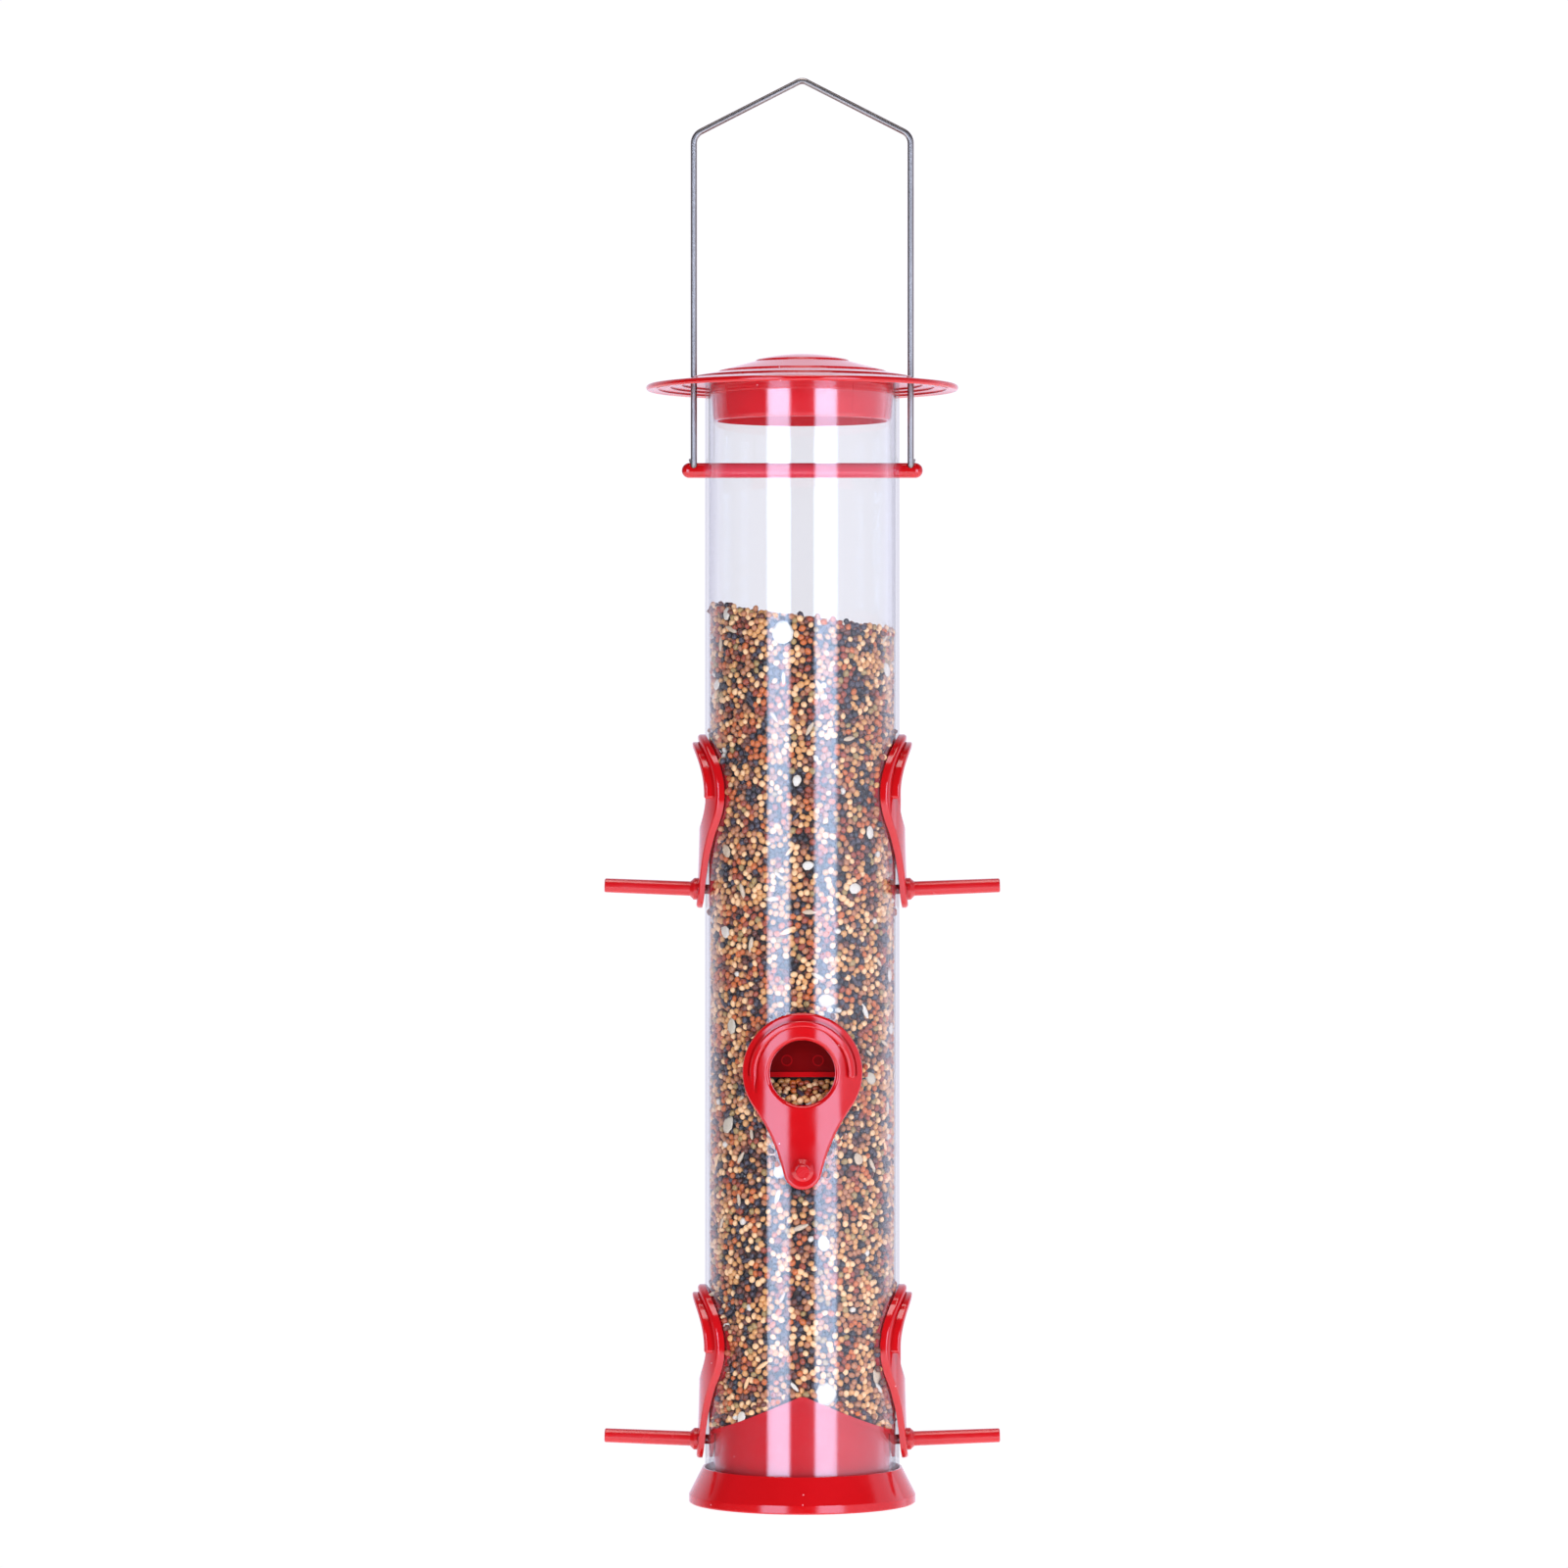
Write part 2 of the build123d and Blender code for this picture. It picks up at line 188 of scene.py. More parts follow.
def make_floor():
    mesh = bpy.data.meshes.new("floor")
    form = bmesh.new()
    bmesh.ops.create_circle(form, cap_ends=True, segments=96, radius=FLOOR_R)
    form.to_mesh(mesh)
    form.free()
    floor = bpy.data.objects.new("floor", mesh)
    floor.location.z = FLOOR_Z
    bpy.context.collection.objects.link(floor)
    material, tree, shader = new_material("pale_floor", 0.9)
    tint = noise_colours(tree, 0.8, (0.93, 0.93, 0.93), (0.96, 0.96, 0.96))
    tree.links.new(tint, shader.inputs["Base Color"])
    shader.inputs["Emission Color"].default_value = (1, 1, 1, 1)
    shader.inputs["Emission Strength"].default_value = FLOOR_GLOW
    mesh.materials.append(material)


# ---- material helpers ---------------------------------------------------------------------

NOISE_LOW, NOISE_HIGH = 0.3, 0.7


def new_material(name, roughness, metallic=0.0, ior=1.5):
    material = bpy.data.materials.new(name)
    material.use_nodes = True
    shader = material.node_tree.nodes["Principled BSDF"]
    shader.inputs["Roughness"].default_value = roughness
    shader.inputs["Metallic"].default_value = metallic
    shader.inputs["IOR"].default_value = ior
    return material, material.node_tree, shader


def feed(tree, socket, value):
    """Gives a socket a number, a colour, or another socket's output."""
    if isinstance(value, (int, float)):
        socket.default_value = value
    elif isinstance(value, tuple):
        socket.default_value = (*value, 1)
    else:
        tree.links.new(value, socket)


def calc(tree, operation, *values):
    node = tree.nodes.new("ShaderNodeMath")
    node.operation = operation
    for socket, value in zip(node.inputs, values):
        feed(tree, socket, value)
    return node.outputs[0]


def hypot(tree, a, b):
    squares = calc(tree, "ADD", calc(tree, "MULTIPLY", a, a), calc(tree, "MULTIPLY", b, b))
    return calc(tree, "SQRT", squares)


def remap(tree, value, start, end, low=0.0, high=1.0, smooth=False):
    """Spreads start to end over low to high, and holds it there beyond."""
    node = tree.nodes.new("ShaderNodeMapRange")
    if smooth:
        node.interpolation_type = "SMOOTHSTEP"
    for name, number in (("From Min", start), ("From Max", end), ("To Min", low), ("To Max", high)):
        node.inputs[name].default_value = number
    tree.links.new(value, node.inputs["Value"])
    return node.outputs["Result"]


def mix_colours(tree, share, first, second):
    node = tree.nodes.new("ShaderNodeMix")
    node.data_type = "RGBA"
    for index, value in ((0, share), (6, first), (7, second)):
        feed(tree, node.inputs[index], value)
    return node.outputs[2]


def mix_shaders(tree, share, first, second):
    node = tree.nodes.new("ShaderNodeMixShader")
    for socket, value in zip(node.inputs, (share, first, second)):
        feed(tree, socket, value)
    return node.outputs[0]


def split_xyz(tree, vector):
    node = tree.nodes.new("ShaderNodeSeparateXYZ")
    tree.links.new(vector, node.inputs[0])
    return node.outputs


def own_place(tree):
    """A point's place on the piece, which for a CAD piece is its place at rest."""
    return tree.nodes.new("ShaderNodeTexCoord").outputs["Object"]


def noise_value(tree, scale, detail=3.0, stretch=(1, 1, 1)):
    """A noise of scale waves per metre, mostly between NOISE_LOW and NOISE_HIGH."""
    mapping = tree.nodes.new("ShaderNodeMapping")
    mapping.inputs["Scale"].default_value = stretch
    texture = tree.nodes.new("ShaderNodeTexNoise")
    texture.inputs["Scale"].default_value = scale
    texture.inputs["Detail"].default_value = detail
    tree.links.new(own_place(tree), mapping.inputs["Vector"])
    tree.links.new(mapping.outputs["Vector"], texture.inputs["Vector"])
    return texture.outputs["Fac"]


def noise_range(tree, scale, low, high, detail=3.0, stretch=(1, 1, 1)):
    value = noise_value(tree, scale, detail, stretch)
    return remap(tree, value, NOISE_LOW, NOISE_HIGH, low, high)


def noise_colours(tree, scale, dark, light):
    return mix_colours(tree, noise_range(tree, scale, 0, 1), dark, light)


def specks(tree, scale, radius, share):
    """1 in small round dust specks, one in a share of the cells, 0 elsewhere."""
    cells = tree.nodes.new("ShaderNodeTexVoronoi")
    cells.inputs["Scale"].default_value = scale
    tree.links.new(own_place(tree), cells.inputs["Vector"])
    split = tree.nodes.new("ShaderNodeSeparateColor")
    tree.links.new(cells.outputs["Color"], split.inputs[0])
    near = calc(tree, "LESS_THAN", cells.outputs["Distance"], radius * scale)
    chosen = calc(tree, "LESS_THAN", split.outputs[0], share)
    return calc(tree, "MULTIPLY", near, chosen)


def add_bump(tree, shader, height, strength, depth):
    bump = tree.nodes.new("ShaderNodeBump")
    bump.inputs["Strength"].default_value = strength
    bump.inputs["Distance"].default_value = depth
    tree.links.new(height, bump.inputs["Height"])
    tree.links.new(bump.outputs["Normal"], shader.inputs["Normal"])


# ---- finishes -----------------------------------------------------------------------------

RED_OUTSIDE = ((0.45, 0.002, 0.003), (0.5, 0.003, 0.005))
# Painted light: paler reds for the parts inside the clear tube, making up for the light its wall
# takes; the cross bar's also carries a painted pale sheen.
PAINTED_LIGHT_REDS = {
    "base": (0.54, 0.005, 0.009),
    "lid": (0.6, 0.005, 0.009),
    "cross_bar": (0.64, 0.03, 0.045),  # painted light, with a pale painted sheen over it
}
# Painted shade: the deep red inside each port's hood, above its lip.
PAINTED_HOOD_SHADE = (0.15, 0.0004, 0.0008)
RED_DUST = (0.86, 0.62, 0.62)
# Two radii each, from the feeder's axis: the painted light inside the tube, or the painted shade in
# a hood, sets in at one and is full at the other.
PAINTED_LIGHT_RADII = (33.5 * MM, 31 * MM)
PAINTED_SHADE_RADII = (29.6 * MM, 27.1 * MM)
ABOVE_LIP = (-0.3 * MM, -0.1 * MM)  # the same in height, from the middle of the hole
MARK_SIDE = 5.2 * MM  # the two ejector marks on a hood, from the middle of the hole
MARK_UP = 3.6 * MM
MARK_R = 1.67 * MM
MARK_EDGE = (0.15 * MM, 0.3 * MM)  # a mark is a ring, and this is where it ends on both sides
MARK_SHADE_SHARE = 0.5  # how much of the painted hood shade a mark takes, which paints a pale highlight ring on each mark
# Dust specks: cells per metre, radius of a speck, share of the cells that have one.
RED_SPECKS = (260, 0.2 * MM, 0.16)
TUBE_SPECKS = (210, 0.17 * MM, 0.08)

TUBE_IOR = 1.58
MOST_MIRROR = 0.2  # the wall mirrors no more than this, however slanting the view
TINT_FACING = (0.975, 0.977, 0.983)
TINT_SLANTING = (0.86, 0.865, 0.885)
SLANTING = (0.45, 0.85)  # a layer weight, 1 at the tube's very edge
POWDER = (0.85, 0.82, 0.8)
STEEL_GREYS = ((0.232, 0.198, 0.18), (0.28, 0.238, 0.217))


def red_plastic(name, painted_red=None, painted_share=None, specular=0.5, roughness=(0.08, 0.16)):
    """Gloss red moulding, dusty here and there. Where the share function puts the second red, that
    red is painted light inside the tube or painted shade in a port's hood.
    """
    material, tree, shader = new_material(name, 0.14, ior=1.52)
    shader.inputs["Specular IOR Level"].default_value = specular
    reds = noise_colours(tree, 30, *RED_OUTSIDE)
    if painted_share:
        reds = mix_colours(tree, painted_share(tree), reds, painted_red)
    dusty = mix_colours(tree, specks(tree, *RED_SPECKS), reds, RED_DUST)
    tree.links.new(dusty, shader.inputs["Base Color"])
    tree.links.new(noise_range(tree, 160, *roughness), shader.inputs["Roughness"])
    add_bump(tree, shader, noise_value(tree, 220, 2.0), 0.12, 0.15 * MM)
    return material


# Where a red piece lies inside the tube and takes the paler red of painted light.
def painted_light_share(tree):
    x, y, _ = split_xyz(tree, own_place(tree))
    return remap(tree, hypot(tree, x, y), *PAINTED_LIGHT_RADII)


def painted_shade_share(hole_z):
    """Where a baffle gets painted shade deep in its hood: above the lip, and less of it on the
    ejector marks, which paints a pale highlight ring on each.
    """

    def share(tree):
        x, y, z = split_xyz(tree, own_place(tree))
        side = calc(tree, "MINIMUM", calc(tree, "ABSOLUTE", x), calc(tree, "ABSOLUTE", y))
        up = calc(tree, "SUBTRACT", z, hole_z)
        inside = remap(tree, hypot(tree, x, y), *PAINTED_SHADE_RADII)
        above_lip = remap(tree, up, *ABOVE_LIP)
        from_mark = hypot(
            tree, calc(tree, "SUBTRACT", side, MARK_SIDE), calc(tree, "SUBTRACT", up, MARK_UP)
        )
        off_ring = calc(tree, "ABSOLUTE", calc(tree, "SUBTRACT", from_mark, MARK_R))
        less_shade_on_mark = remap(tree, off_ring, *MARK_EDGE, MARK_SHADE_SHARE, 1)
        return calc(tree, "MULTIPLY", calc(tree, "MULTIPLY", inside, above_lip), less_shade_on_mark)

    return share


def clear_plastic():
    """Clear tube wall: a tinted see-through under a gloss that is the same from both sides."""
    material = bpy.data.materials.new("clear_tube_plastic")
    material.use_nodes = True
    tree = material.node_tree
    tree.nodes.clear()
    slant = tree.nodes.new("ShaderNodeLayerWeight").outputs["Facing"]
    clear = tree.nodes.new("ShaderNodeBsdfTransparent")
    thicker = remap(tree, slant, *SLANTING)  # a slanting view goes through more plastic
    tint = mix_colours(tree, thicker, TINT_FACING, TINT_SLANTING)
    tree.links.new(tint, clear.inputs["Color"])
    gloss = tree.nodes.new("ShaderNodeBsdfGlossy")
    tree.links.new(noise_range(tree, 90, 0.015, 0.05), gloss.inputs["Roughness"])
    from_inside = tree.nodes.new("ShaderNodeNewGeometry").outputs["Backfacing"]
    fresnel = tree.nodes.new("ShaderNodeFresnel")
    tree.links.new(remap(tree, from_inside, 0, 1, TUBE_IOR, 1 / TUBE_IOR), fresnel.inputs["IOR"])
    mirror = calc(tree, "MINIMUM", fresnel.outputs["Fac"], MOST_MIRROR)
    wall = mix_shaders(tree, mirror, clear.outputs[0], gloss.outputs[0])
    # The wall throws no shadow on what is inside it.
    shadow = tree.nodes.new("ShaderNodeLightPath").outputs["Is Shadow Ray"]
    unseen = tree.nodes.new("ShaderNodeBsdfTransparent").outputs[0]
    lit = mix_shaders(tree, shadow, wall, unseen)
    powder = tree.nodes.new("ShaderNodeBsdfDiffuse")
    powder.inputs["Color"].default_value = (*POWDER, 1)
    film = noise_range(tree, 40, 0.004, 0.010)
    haze = calc(tree, "MAXIMUM", film, specks(tree, *TUBE_SPECKS))
    out = tree.nodes.new("ShaderNodeOutputMaterial")
    tree.links.new(mix_shaders(tree, haze, lit, powder.outputs[0]), out.inputs["Surface"])
    return material


def steel_wire():
    material, tree, shader = new_material("drawn_steel_wire", 0.24, metallic=1.0)
    greys = noise_colours(tree, 60, *STEEL_GREYS)
    tree.links.new(greys, shader.inputs["Base Color"])
    drawn = noise_range(tree, 900, 0.33, 0.4, 2.0, (1, 1, 0.03))
    tree.links.new(drawn, shader.inputs["Roughness"])
    return material


def give(material, name):
    for slot in nodes[name].material_slots:
        slot.material = material


# ---- seeds --------------------------------------------------------------------------------

SAMPLES = 320000  # random points on the CAD seed mass that are tried as places for seeds
WALL_RISE = 0.3  # a face is upright where its normal rises or falls by less than this

# Where nothing shows the seed mass, port by port: out is from the feeder's axis towards the
# port, side and up are from the middle of its hole.
FLANGE_FACE_R = 29.7 * MM  # the seed mass is cut to this radius behind the port flanges
FLANGE_FACE_SLACK = 0.25 * MM
HOLE_OUT = 19 * MM
HOOD_OUT = 18.8 * MM
HOOD_SIDE = 14.8 * MM
HOOD_UP = (-3 * MM, 15 * MM)
SLOPE_SIDE = 12.4 * MM  # the seeds' slope in the hole, which shows below the hood
SLOPE_TOP = -1.8 * MM
BOSS_OUT = 26 * MM
BOSS_UP = -32 * MM
BOSS_R = 3.6 * MM

# Each kind of seed: length, width and thickness in mm.
MILLET = (2.5, 2.1, 1.9)
ROUND = (2.25, 2.1, 1.9)
LONG = (5.6, 1.75, 1.3)
FLAKE = (6.2, 4.6, 1.0)

EGG_TAPER = 0.22

# A gap is the least from one seed's place to the next of its layer. A reach is the least from
# the place of a flake or an oat to that of any seed laid after it. A tilt is the most that a
# seed tips out of the surface, in degrees. Scales are against the sizes above.
FLAKES = 46
FLAKES_TRIED = 2000
FLAKE_SCALE = (0.6, 0.95)
FLAKE_TILT = 6
FLAKE_GAP = 13 * MM
FLAKE_REACH = 2.7 * MM
BIGGEST = 2  # so many of the big flakes have the wider reach
BIGGEST_REACH = 3.9 * MM
OATS = 150
OATS_TRIED = 3000
OAT_SCALE = (0.7, 1.1)
OAT_TILT = 10
OAT_GAP = 8 * MM
OAT_REACH = 1.7 * MM
SEED_SCALE = (0.86, 1.12)
SEED_AXIS_SCALE = (0.93, 1.07)  # and each axis by itself
SEED_TILT = 32
SEED_GAP = 1.8 * MM
SEED_SUNK = 0.45  # at most, in mm
SLICES = 10  # the seeds at the wall are so many pieces, one above another
BACK_SCALE = 1.1
BACK_TILT = 40
BACK_GAP = 2.05 * MM
BACK_DEPTH = 2.1 * MM
CORE_DEPTH = 2.6 * MM
CORE_VOXEL = 1.5 * MM
# Painted shade: the near-black browns of the core behind the seeds.
CORE_SHADE_BROWNS = ((0.012, 0.008, 0.006), (0.08, 0.04, 0.024))

# Big flakes that lie against the wall: azimuth from the front in degrees, height, length, width.
BIG_FLAKES = (
    (-12.4, 290, 7.6, 7.2),
    (14.3, 38.4, 7.8, 7.0),
    (-50, 160, 5.6, 4.2),
    (-54, 127, 6.4, 4.6),
    (47.7, 142.7, 5.0, 3.8),
)
BIG_FLAKE_R = 30.4 * MM  # each takes the place on the wall nearest to a point at this radius

SHADES = {
    "golden": (0.68, 0.295, 0.085),
    "straw": (0.9, 0.5, 0.22),
    "tan": (0.46, 0.165, 0.06),
    "amber": (0.57, 0.122, 0.017),
    "russet": (0.33, 0.053, 0.015),
    "brown": (0.14, 0.037, 0.018),
    "olive": (0.37, 0.215, 0.065),
    "slate": (0.055, 0.038, 0.045),
    "black": (0.016, 0.011, 0.012),
    "ivory": (0.72, 0.60, 0.46),
    "husk": (0.60, 0.42, 0.26),
    "bran": (0.58, 0.46, 0.32),
}
SHADE_NAMES = list(SHADES)
# Shares of the shades in each kind of seed.
FLAKE_MIX = {"ivory": 0.7, "husk": 0.3}
OAT_MIX = {"husk": 0.5, "straw": 0.2, "ivory": 0.15, "slate": 0.15}
PALE_MIX = {"golden": 0.36, "straw": 0.29, "tan": 0.26, "ivory": 0.01, "olive": 0.08}
RED_MIX = {"amber": 0.45, "russet": 0.38, "brown": 0.17}
DARK_MIX = {"slate": 0.5, "black": 0.38, "brown": 0.12}
# The seeds behind are mostly dark: painted shade for the gaps between the seeds in front.
BACK_SHADE_MIX = {"tan": 0.12, "brown": 0.53, "russet": 0.15, "slate": 0.2}
# The patches that dark and red seeds lie in: waves per metre, and a shift along x.
DARK_PATCHES = (130, 0)
RED_PATCHES = (110, 40)
PATCHINESS = 0.75  # the less, the more evenly the dark seeds are spread
DARK_FROM = 0.49
RED_FROM = 0.3


def seed_materials():
    made = []
    for name, colour in SHADES.items():
        material, tree, shader = new_material(f"seed_{name}", 0.36)
        shader.inputs["Base Color"].default_value = (*colour, 1)
        tree.links.new(noise_range(tree, 700, 0.28, 0.5), shader.inputs["Roughness"])
        made.append(material)
    return made


def seed_form(subdivisions, wobble, seed):
    """An egg of unit radius, a little pointed at one end and uneven, as (points, triangles)."""
    form = bmesh.new()
    bmesh.ops.create_icosphere(form, subdivisions=subdivisions, radius=1)
    points = np.array([v.co for v in form.verts])
    faces = np.array([[v.index for v in f.verts] for f in form.faces])
    form.free()
    draw = np.random.RandomState(seed)
    points[:, 1:] *= 1 - EGG_TAPER * np.clip(points[:, :1], 0, 1) ** 2
    points *= 1 + wobble * draw.uniform(-1, 1, (len(points), 1))
    return points, faces


def surface_samples(mesh_object, count, draw):
    """Random points all over a mesh, with the normals of their faces."""
    mesh = mesh_object.data
    mesh.calc_loop_triangles()
    points = np.array([mesh_object.matrix_world @ v.co for v in mesh.vertices])
    corners = points[np.array([t.vertices for t in mesh.loop_triangles])]
    cross = np.cross(corners[:, 1] - corners[:, 0], corners[:, 2] - corners[:, 0])
    size = np.linalg.norm(cross, axis=1)
    chosen = draw.choice(len(size), count, p=size / size.sum())
    u, v = draw.rand(2, count)
    over = u + v > 1
    u[over], v[over] = 1 - u[over], 1 - v[over]
    a, b, c = (corners[chosen, i] for i in range(3))
    where = a + u[:, None] * (b - a) + v[:, None] * (c - a)
    return where, cross[chosen] / size[chosen, None]


def upright(normal):
    return np.abs(normal[:, 2]) < WALL_RISE


def in_sight(where, normal):
    """True where the seed mass isn't behind a flange, a hood or a boss of a port."""
    seen = np.ones(len(where), bool)
    in_hole = np.zeros(len(where), bool)
    for name, way in PORT_WAYS.items():
        out = where[:, 0] * way[0] + where[:, 1] * way[1]
        side = np.abs(where[:, 1] * way[0] - where[:, 0] * way[1])
        up = where[:, 2] - HOLE_Z[name]
        in_hole |= (out > HOLE_OUT) & (np.hypot(side, up) < COLLAR_R)
        slope = (normal[:, 2] > WALL_RISE) & (up < SLOPE_TOP) & (side < SLOPE_SIDE)
        hood = (out > HOOD_OUT) & (side < HOOD_SIDE) & (up > HOOD_UP[0]) & (up < HOOD_UP[1])
        boss = (out > BOSS_OUT) & (np.hypot(side, up - BOSS_UP) < BOSS_R)
        seen &= ~(hood & ~slope) & ~boss
    radius = np.hypot(where[:, 0], where[:, 1])
    flange_face = (np.abs(radius - FLANGE_FACE_R) < FLANGE_FACE_SLACK) & upright(normal)
    return seen & (in_hole | ~flange_face)


def keep_apart(where, gap):
    """Indices of points, taken in order, that are at least gap from each other."""
    cells = {}
    near = (0, -1, 1)
    around = [(x, y, z) for x in near for y in near for z in near]
    kept = []
    spots = where.tolist()
    keys = np.floor(where / gap).astype(int).tolist()
    for i, (spot, (kx, ky, kz)) in enumerate(zip(spots, keys)):
        others = (q for x, y, z in around for q in cells.get((kx + x, ky + y, kz + z), ()))
        if all(math.dist(spot, other) >= gap for other in others):
            cells.setdefault((kx, ky, kz), []).append(spot)
            kept.append(i)
    return np.array(kept)


def place_seeds(where, normal, sizes, tilt, depth, draw):
    """Each seed's own axes, scaled to its half sizes, and its centre, just under the surface."""
    count = len(where)
    turn = draw.normal(size=(count, 3))
    along = np.cross(normal, turn)
    along /= np.linalg.norm(along, axis=1)[:, None]
    lift = np.radians(draw.uniform(-tilt, tilt, count))[:, None]
    across = np.cross(normal, along)
    long_way = along * np.cos(lift) + normal * np.sin(lift)
    thin_way = np.cross(long_way, across)
    half = sizes / 2
    axes = np.stack([long_way, across, thin_way], 1) * half[:, :, None]
    reach = np.sqrt((half[:, 0:1] * np.sin(lift)) ** 2 + (half[:, 2:3] * np.cos(lift)) ** 2)
    return axes, where - normal * (reach + depth[:, None])


def seed_mesh(name, form, axes, centres, shades, materials):
    points, faces = form
    count = len(centres)
    placed = np.einsum("pk,nkc->npc", points, axes) + centres[:, None, :]
    index = faces[None, :, :] + (np.arange(count) * len(points))[:, None, None]
    mesh = bpy.data.meshes.new(name)
    mesh.vertices.add(count * len(points))
    mesh.vertices.foreach_set("co", placed.astype(np.float32).ravel())
    triangles = count * len(faces)
    mesh.loops.add(triangles * 3)
    mesh.loops.foreach_set("vertex_index", index.astype(np.int32).ravel())
    mesh.polygons.add(triangles)
    mesh.polygons.foreach_set("loop_start", np.arange(0, triangles * 3, 3, dtype=np.int32))
    used, slots = np.unique(shades, return_inverse=True)
    mesh.polygons.foreach_set("material_index", np.repeat(slots, len(faces)).astype(np.int32))
    mesh.polygons.foreach_set("use_smooth", np.ones(triangles, bool))
    for shade in used:
        mesh.materials.append(materials[shade])
    mesh.update(calc_edges=True)
    mesh.validate()
    piece = bpy.data.objects.new(name, mesh)
    bpy.context.collection.objects.link(piece)
    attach(piece, "feeder")
    return piece


def pick(mix, count, draw):
    names = list(mix)
    share = np.array([mix[n] for n in names])
    chosen = draw.choice(len(names), count, p=share / share.sum())
    return np.array([SHADE_NAMES.index(n) for n in names])[chosen]


def patches(where, scale, offset):
    """Slow noise, about -1 to 1, that makes the kinds of seed lie in patches."""
    return np.array([noise.noise(Vector(p) * scale + Vector((offset, 0, 0))) for p in where])


class SeedBed:
    """The places left for seeds on the CAD seed mass, and the pieces laid there so far."""

    def __init__(self, fill):
        self.draw = np.random.RandomState(20)
        self.materials = seed_materials()
        where, normal = surface_samples(fill, SAMPLES, self.draw)
        seen = in_sight(where, normal)
        self.where, self.normal = where[seen], normal[seen]
        self.pieces = []

    def lay(self, name, form, chosen, sizes, shades, tilt, depth):
        """Makes one piece of the seeds at the chosen places, depth deeper than touching."""
        at, facing = self.where[chosen], self.normal[chosen]
        axes, centres = place_seeds(at, facing, sizes, tilt, depth, self.draw)
        self.pieces.append(seed_mesh(name, form, axes, centres, shades, self.materials))

    def clear_round(self, spots, reach):
        """Gives up the places nearer to a spot than reach."""
        free = np.ones(len(self.where), bool)
        for spot in spots:
            free &= np.linalg.norm(self.where - spot, axis=1) > reach
        self.where, self.normal = self.where[free], self.normal[free]


def lay_flakes(bed):
    wall = np.flatnonzero(upright(bed.normal))
    big = []
    for azimuth, height, _, _ in BIG_FLAKES:
        a = math.radians(azimuth)
        spot = (BIG_FLAKE_R * math.sin(a), -BIG_FLAKE_R * math.cos(a), height * MM)
        big.append(wall[np.argmin(np.linalg.norm(bed.where[wall] - spot, axis=1))])
    tried = np.array(big + list(wall[:FLAKES_TRIED]))
    chosen = tried[keep_apart(bed.where[tried], FLAKE_GAP)][:FLAKES]
    count = len(chosen)
    sizes = np.array(FLAKE) * MM * bed.draw.uniform(*FLAKE_SCALE, (count, 1))
    sizes[:len(big), :2] = [[length * MM, width * MM] for _, _, length, width in BIG_FLAKES]
    shades = pick(FLAKE_MIX, count, bed.draw)
    shades[1:len(big)] = SHADE_NAMES.index("bran")  # all big ones but the first
    form = seed_form(3, 0.12, 3)
    bed.lay("seed_flakes", form, chosen, sizes, shades, FLAKE_TILT, np.zeros(count))
    spots = bed.where[chosen]
    bed.clear_round(spots[:BIGGEST], BIGGEST_REACH)
    bed.clear_round(spots[BIGGEST:], FLAKE_REACH)


def lay_oats(bed):
    chosen = keep_apart(bed.where[:OATS_TRIED], OAT_GAP)[:OATS]
    count = len(chosen)
    sizes = np.array(LONG) * MM * bed.draw.uniform(*OAT_SCALE, (count, 1))
    shades = pick(OAT_MIX, count, bed.draw)
    form = seed_form(2, 0.03, 4)
    bed.lay("seed_oats", form, chosen, sizes, shades, OAT_TILT, np.zeros(count))
    bed.clear_round(bed.where[chosen], OAT_REACH)


def lay_wall_seeds(bed):
    """The seeds at the wall and on top: dark and red ones lie in patches among pale ones."""
    draw = bed.draw
    chosen = keep_apart(bed.where, SEED_GAP)
    at = bed.where[chosen]
    count = len(chosen)
    dark = PATCHINESS * patches(at, *DARK_PATCHES) + draw.uniform(-0.7, 0.7, count)
    red = patches(at, *RED_PATCHES) + draw.uniform(-0.6, 0.6, count)
    is_dark = dark > DARK_FROM
    is_red = ~is_dark & (red > RED_FROM)
    shades = pick(PALE_MIX, count, draw)
    shades[is_dark] = pick(DARK_MIX, int(is_dark.sum()), draw)
    shades[is_red] = pick(RED_MIX, int(is_red.sum()), draw)
    sizes = np.where(is_dark[:, None], np.array(ROUND), np.array(MILLET)) * MM
    sizes = sizes * draw.uniform(*SEED_SCALE, (count, 1))
    sizes = sizes * draw.uniform(*SEED_AXIS_SCALE, (count, 3))
    depth = draw.uniform(0, SEED_SUNK, count) * MM
    edges = np.quantile(at[:, 2], np.linspace(0, 1, SLICES + 1))
    for i in range(SLICES):
        layer = (at[:, 2] >= edges[i]) & (at[:, 2] <= edges[i + 1])
        bed.lay(f"seeds_{i + 1}", seed_form(2, 0.025, 10 + i), chosen[layer], sizes[layer],
                shades[layer], SEED_TILT, depth[layer])


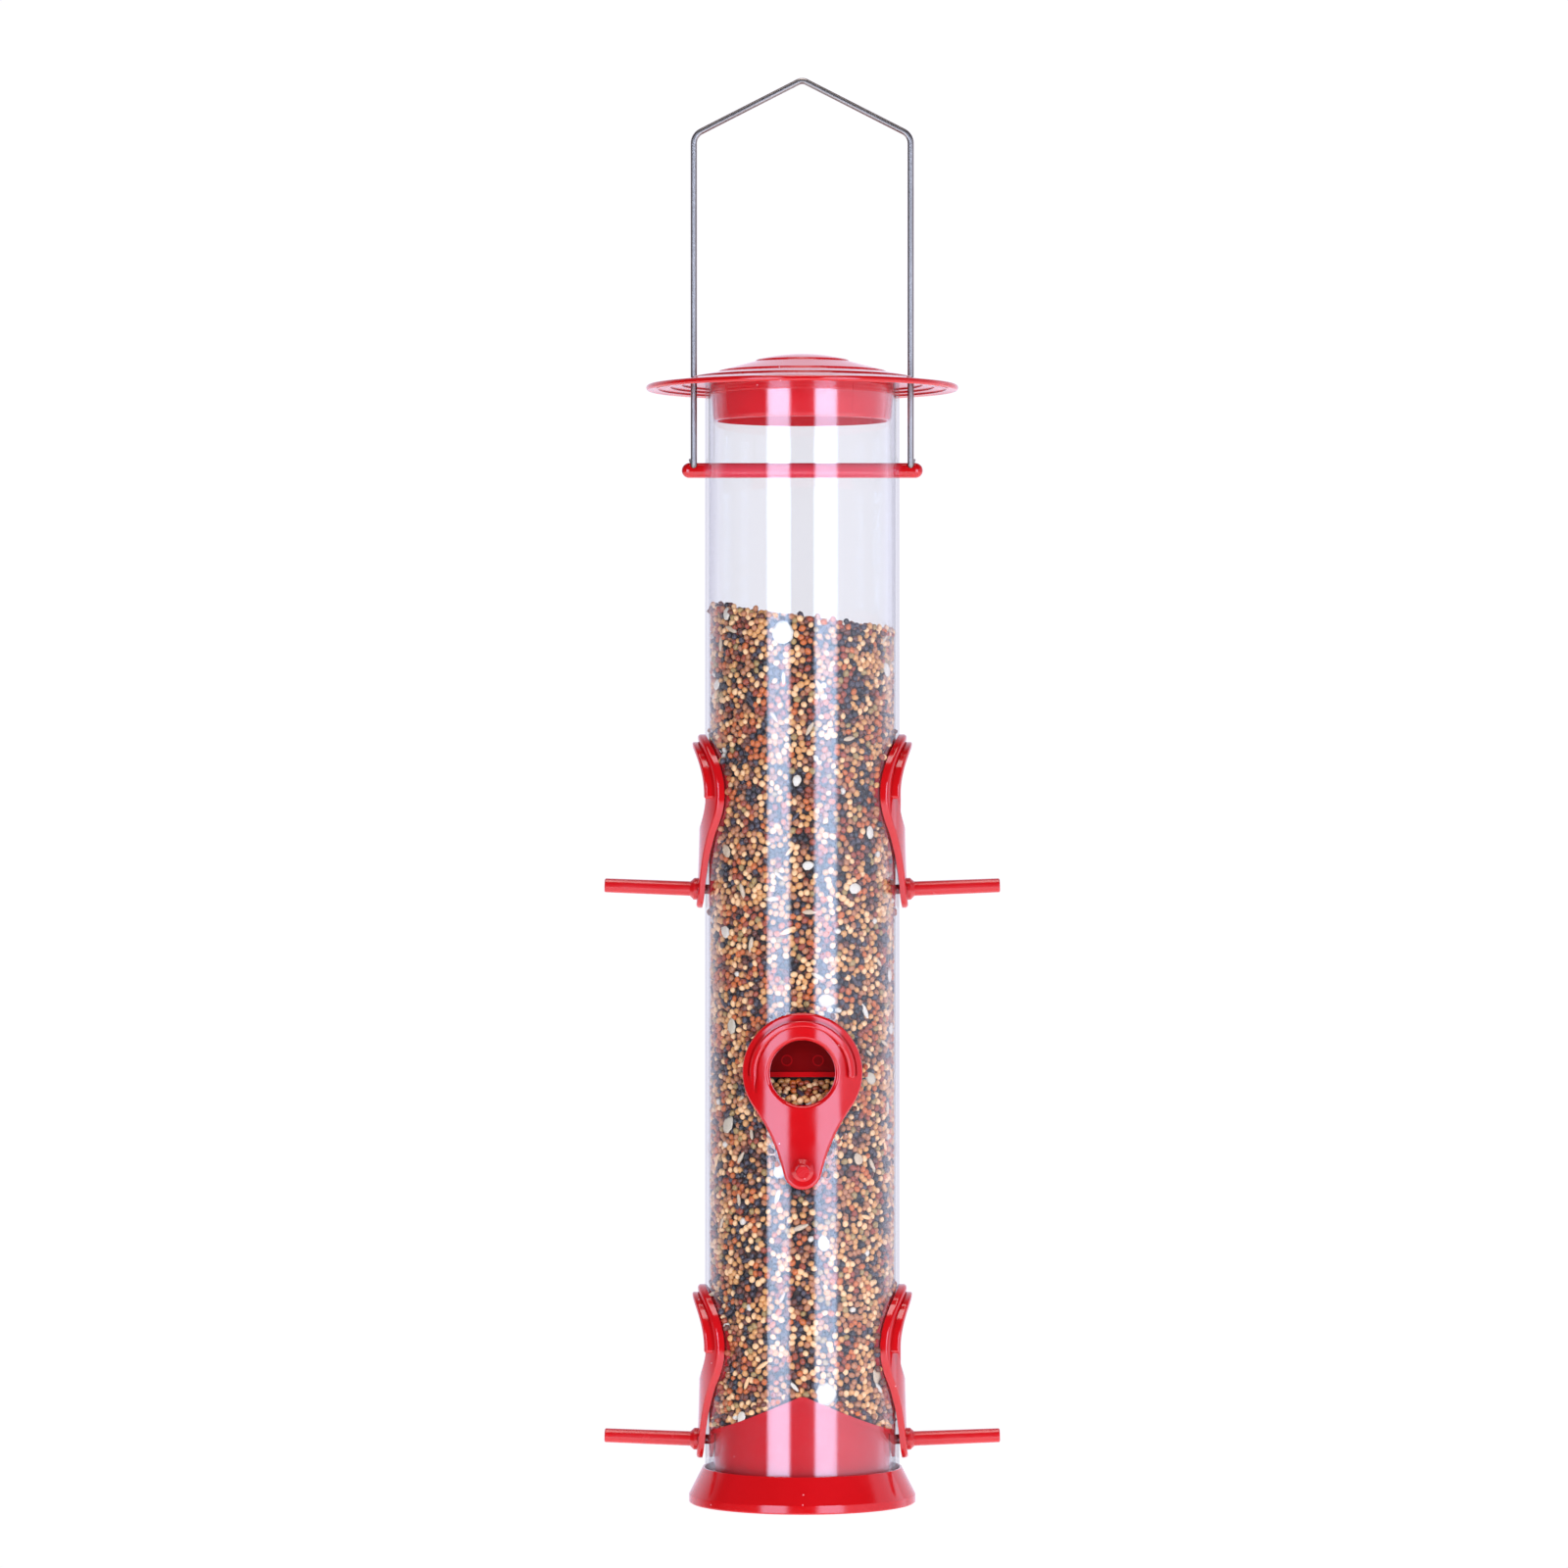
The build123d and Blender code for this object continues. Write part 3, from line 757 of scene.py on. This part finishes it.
def lay_seeds_behind(bed):
    """Seeds that show in the gaps between the others, in mostly dark shades: painted shade for the
    gaps.
    """
    order = bed.draw.permutation(len(bed.where))
    chosen = order[keep_apart(bed.where[order], BACK_GAP)]
    shades = pick(BACK_SHADE_MIX, len(chosen), bed.draw)
    sizes = np.tile(np.array(MILLET) * MM * BACK_SCALE, (len(chosen), 1))
    depth = BACK_DEPTH - sizes[:, 2] / 2
    bed.lay("seeds_behind", seed_form(1, 0.0, 2), chosen, sizes, shades, BACK_TILT, depth)


def seed_core(fill):
    """The painted shade inside the seed mass: its surface, drawn in behind the two layers of seeds,
    in near-black browns.
    """
    core = bpy.data.objects.new("seed_core", fill.data.copy())
    core.matrix_world = fill.matrix_world
    bpy.context.collection.objects.link(core)
    remesh = core.modifiers.new("remesh", "REMESH")
    remesh.mode = "VOXEL"
    remesh.voxel_size = CORE_VOXEL
    remesh.use_smooth_shade = True
    inwards = core.modifiers.new("inwards", "DISPLACE")
    inwards.strength = -CORE_DEPTH
    inwards.mid_level = 0
    graph = bpy.context.evaluated_depsgraph_get()
    mesh = bpy.data.meshes.new_from_object(core.evaluated_get(graph))
    core.modifiers.clear()
    core.data = mesh
    material, tree, shader = new_material("seed_shadow", 0.9)
    browns = noise_colours(tree, 420, *CORE_SHADE_BROWNS)
    tree.links.new(browns, shader.inputs["Base Color"])
    mesh.materials.clear()
    mesh.materials.append(material)
    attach(core, "feeder")
    return core


def make_seeds():
    fill = nodes["seed_fill"]
    bed = SeedBed(fill)
    lay_flakes(bed)
    lay_oats(bed)
    lay_wall_seeds(bed)
    lay_seeds_behind(bed)
    for piece in (*bed.pieces, seed_core(fill)):
        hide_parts("seed_fill")


# ---- the scene ----------------------------------------------------------------------------


def main():
    bpy.context.scene.view_settings.view_transform = "Standard"
    make_camera()
    make_lights()
    make_world()
    make_floor()
    # Each of these reds turns paler inside the tube: painted light.
    for name, lit_red in PAINTED_LIGHT_REDS.items():
        give(red_plastic(f"red_{name}_plastic", lit_red, painted_light_share), name)
    red = red_plastic("red_cover_plastic")
    satin_red = red_plastic("red_perch_plastic", roughness=(0.2, 0.28))
    for port, hole_z in HOLE_Z.items():
        give(red, f"port_cover_{port}")
        give(satin_red, f"perch_{port}")
        # Each baffle's red turns deep in its hood: painted shade, with painted highlight rings on
        # its ejector marks.
        shaded_baffle_red = red_plastic(f"red_baffle_{port}", PAINTED_HOOD_SHADE, painted_shade_share(hole_z), 0.3)
        give(shaded_baffle_red, f"port_baffle_{port}")
    give(clear_plastic(), "tube")
    give(steel_wire(), "hanger")
    make_seeds()


main()
